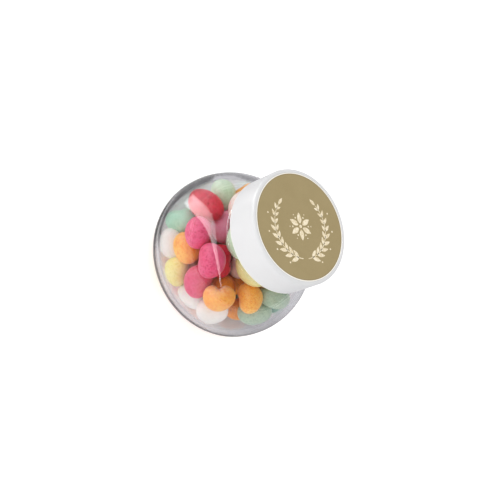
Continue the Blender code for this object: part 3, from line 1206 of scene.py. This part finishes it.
def mirrored(x, y, distance=1.1):
    """Where the outside of the globe mirrors this pixel to, that far away."""
    eye, way = np.array(EYE), np.array(seen_through(x, y))
    for step in np.arange(330.0, 470.0, 0.05):
        p = eye + way * step
        if globe(p) < 0.0:
            break
    eps = 1e-3
    normal = np.array([globe(p + eps * axis) - globe(p - eps * axis) for axis in np.eye(3)])
    normal /= np.linalg.norm(normal)
    away = way - 2 * np.dot(way, normal) * normal
    if away[2] < 0.0:
        distance = min(distance, 0.9 * p[2] * MM / -away[2])
    return p * MM + away * distance


rows = np.linspace(0, len(STREAK) - 1, 61)
STREAK = [
    tuple(np.interp(rows, range(len(STREAK)), [p[k] for p in STREAK])[i] for k in range(3))
    for i in range(len(rows))
]
ACROSS = (-1.0, -0.72, -0.3, 0.2, 0.7, 1.0)
strip_points, strip_glow = [], []
for i, (x, y, half) in enumerate(STREAK):
    before, after = STREAK[max(i - 1, 0)], STREAK[min(i + 1, len(STREAK) - 1)]
    dx, dy = after[0] - before[0], after[1] - before[1]
    long = math.hypot(dx, dy)
    along = i / (len(STREAK) - 1)
    for side in ACROSS:
        off = side * half / long
        strip_points.append(tuple(mirrored(x + dy * off, y - dx * off)))
        # Lower down, its left edge is the bright one.
        lit = 1.0 - min(1.0, 2.2 * along) * 0.55 * (side + 1) / 2
        ripple = 1.0 + 0.13 * math.sin(9 * along * 6.28 + 3 * side) * math.sin(4.1 * side + 7 * along)
        ends = min(1.0, 0.35 + 9.0 * along)
        strip_glow.append(lit * ripple * ends * (0.35 if abs(side) == 1.0 else 1.0))
wide = len(ACROSS)
strip = shown(
    "strip_light",
    strip_points,
    [
        (i * wide + k, i * wide + k + 1, (i + 1) * wide + k + 1, (i + 1) * wide + k)
        for i in range(len(STREAK) - 1)
        for k in range(wide - 1)
    ],
    False,
)
glows = strip.data.attributes.new("glow", "FLOAT", "POINT")
glows.data.foreach_set("value", strip_glow)
n = Nodes("strip_light")
glow = n.add("ShaderNodeAttribute", attribute_name="glow")
n.set(Base_Color=(0, 0, 0, 1), Emission_Color=(1.0, 0.985, 1.0, 1.0))
n.link(n.times(glow.outputs["Fac"], 8.0), n.shader.inputs["Emission Strength"])
strip.data.materials.append(n.material)
unseen(strip, glossy=True)


def area_light(name, where, size_x, size_y, watts, colour=(1, 1, 1)):
    data = bpy.data.lights.new(name, "AREA")
    data.shape = "RECTANGLE"
    data.size, data.size_y = size_x, size_y
    data.energy = watts
    data.color = colour
    obj = bpy.data.objects.new(name, data)
    bpy.context.scene.collection.objects.link(obj)
    obj.location = where
    aim = (BELLY * MM - Vector(where)).to_track_quat("-Z", "Y")
    obj.rotation_euler = aim.to_euler()
    obj.visible_glossy = False
    obj.visible_transmission = False
    return obj


def from_eye(right, up, back, distance):
    """A place in the studio, by its direction as the eye sees it."""
    way = (right * RIGHT + up * UP + back * BACK).normalized()
    return BELLY * MM + way * distance


area_light("key", from_eye(-0.45, 0.8, 0.75, 1.1), 0.8, 0.8, 1.3)
area_light("fill", from_eye(-0.5, -0.05, 1.0, 1.1), 0.7, 0.7, 1.6)
area_light("side", from_eye(-1.0, -0.15, 0.4, 1.1), 0.7, 0.7, 1.0)
area_light("top", Vector((0.0, 0.1, 1.3)), 1.2, 1.2, 3.7)

world = bpy.data.worlds.new("studio")
bpy.context.scene.world = world
world.use_nodes = True
background = world.node_tree.nodes["Background"]
background.inputs["Color"].default_value = (0.99, 0.99, 0.985, 1)
# The dome lights softly. In what is polished it fades from the horizon up.
tree = world.node_tree
where = tree.nodes.new("ShaderNodeTexCoord")
height = tree.nodes.new("ShaderNodeSeparateXYZ")
tree.links.new(where.outputs["Generated"], height.inputs["Vector"])
fade = tree.nodes.new("ShaderNodeMapRange")
fade.inputs["From Min"].default_value = 0.0
fade.inputs["From Max"].default_value = 0.75
fade.inputs["To Min"].default_value = 0.28
fade.inputs["To Max"].default_value = 0.1
tree.links.new(height.outputs["Z"], fade.inputs["Value"])
path = tree.nodes.new("ShaderNodeLightPath")
dim = tree.nodes.new("ShaderNodeMix")
dim.inputs["A"].default_value = 0.76
tree.links.new(path.outputs["Is Glossy Ray"], dim.inputs["Factor"])
tree.links.new(fade.outputs["Result"], dim.inputs["B"])
seen = tree.nodes.new("ShaderNodeMix")
seen.inputs["B"].default_value = 1.0
tree.links.new(path.outputs["Is Camera Ray"], seen.inputs["Factor"])
tree.links.new(dim.outputs["Result"], seen.inputs["A"])
tree.links.new(seen.outputs["Result"], background.inputs["Strength"])

scene = bpy.context.scene
scene.view_settings.view_transform = "Standard"
scene.view_settings.look = "None"
scene.view_settings.exposure = 0.0
scene.cycles.use_denoising = True
scene.cycles.max_bounces = 16
scene.cycles.transmission_bounces = 12
scene.cycles.transparent_max_bounces = 12
scene.cycles.caustics_reflective = False
scene.cycles.caustics_refractive = False
scene.cycles.sample_clamp_indirect = 4.0
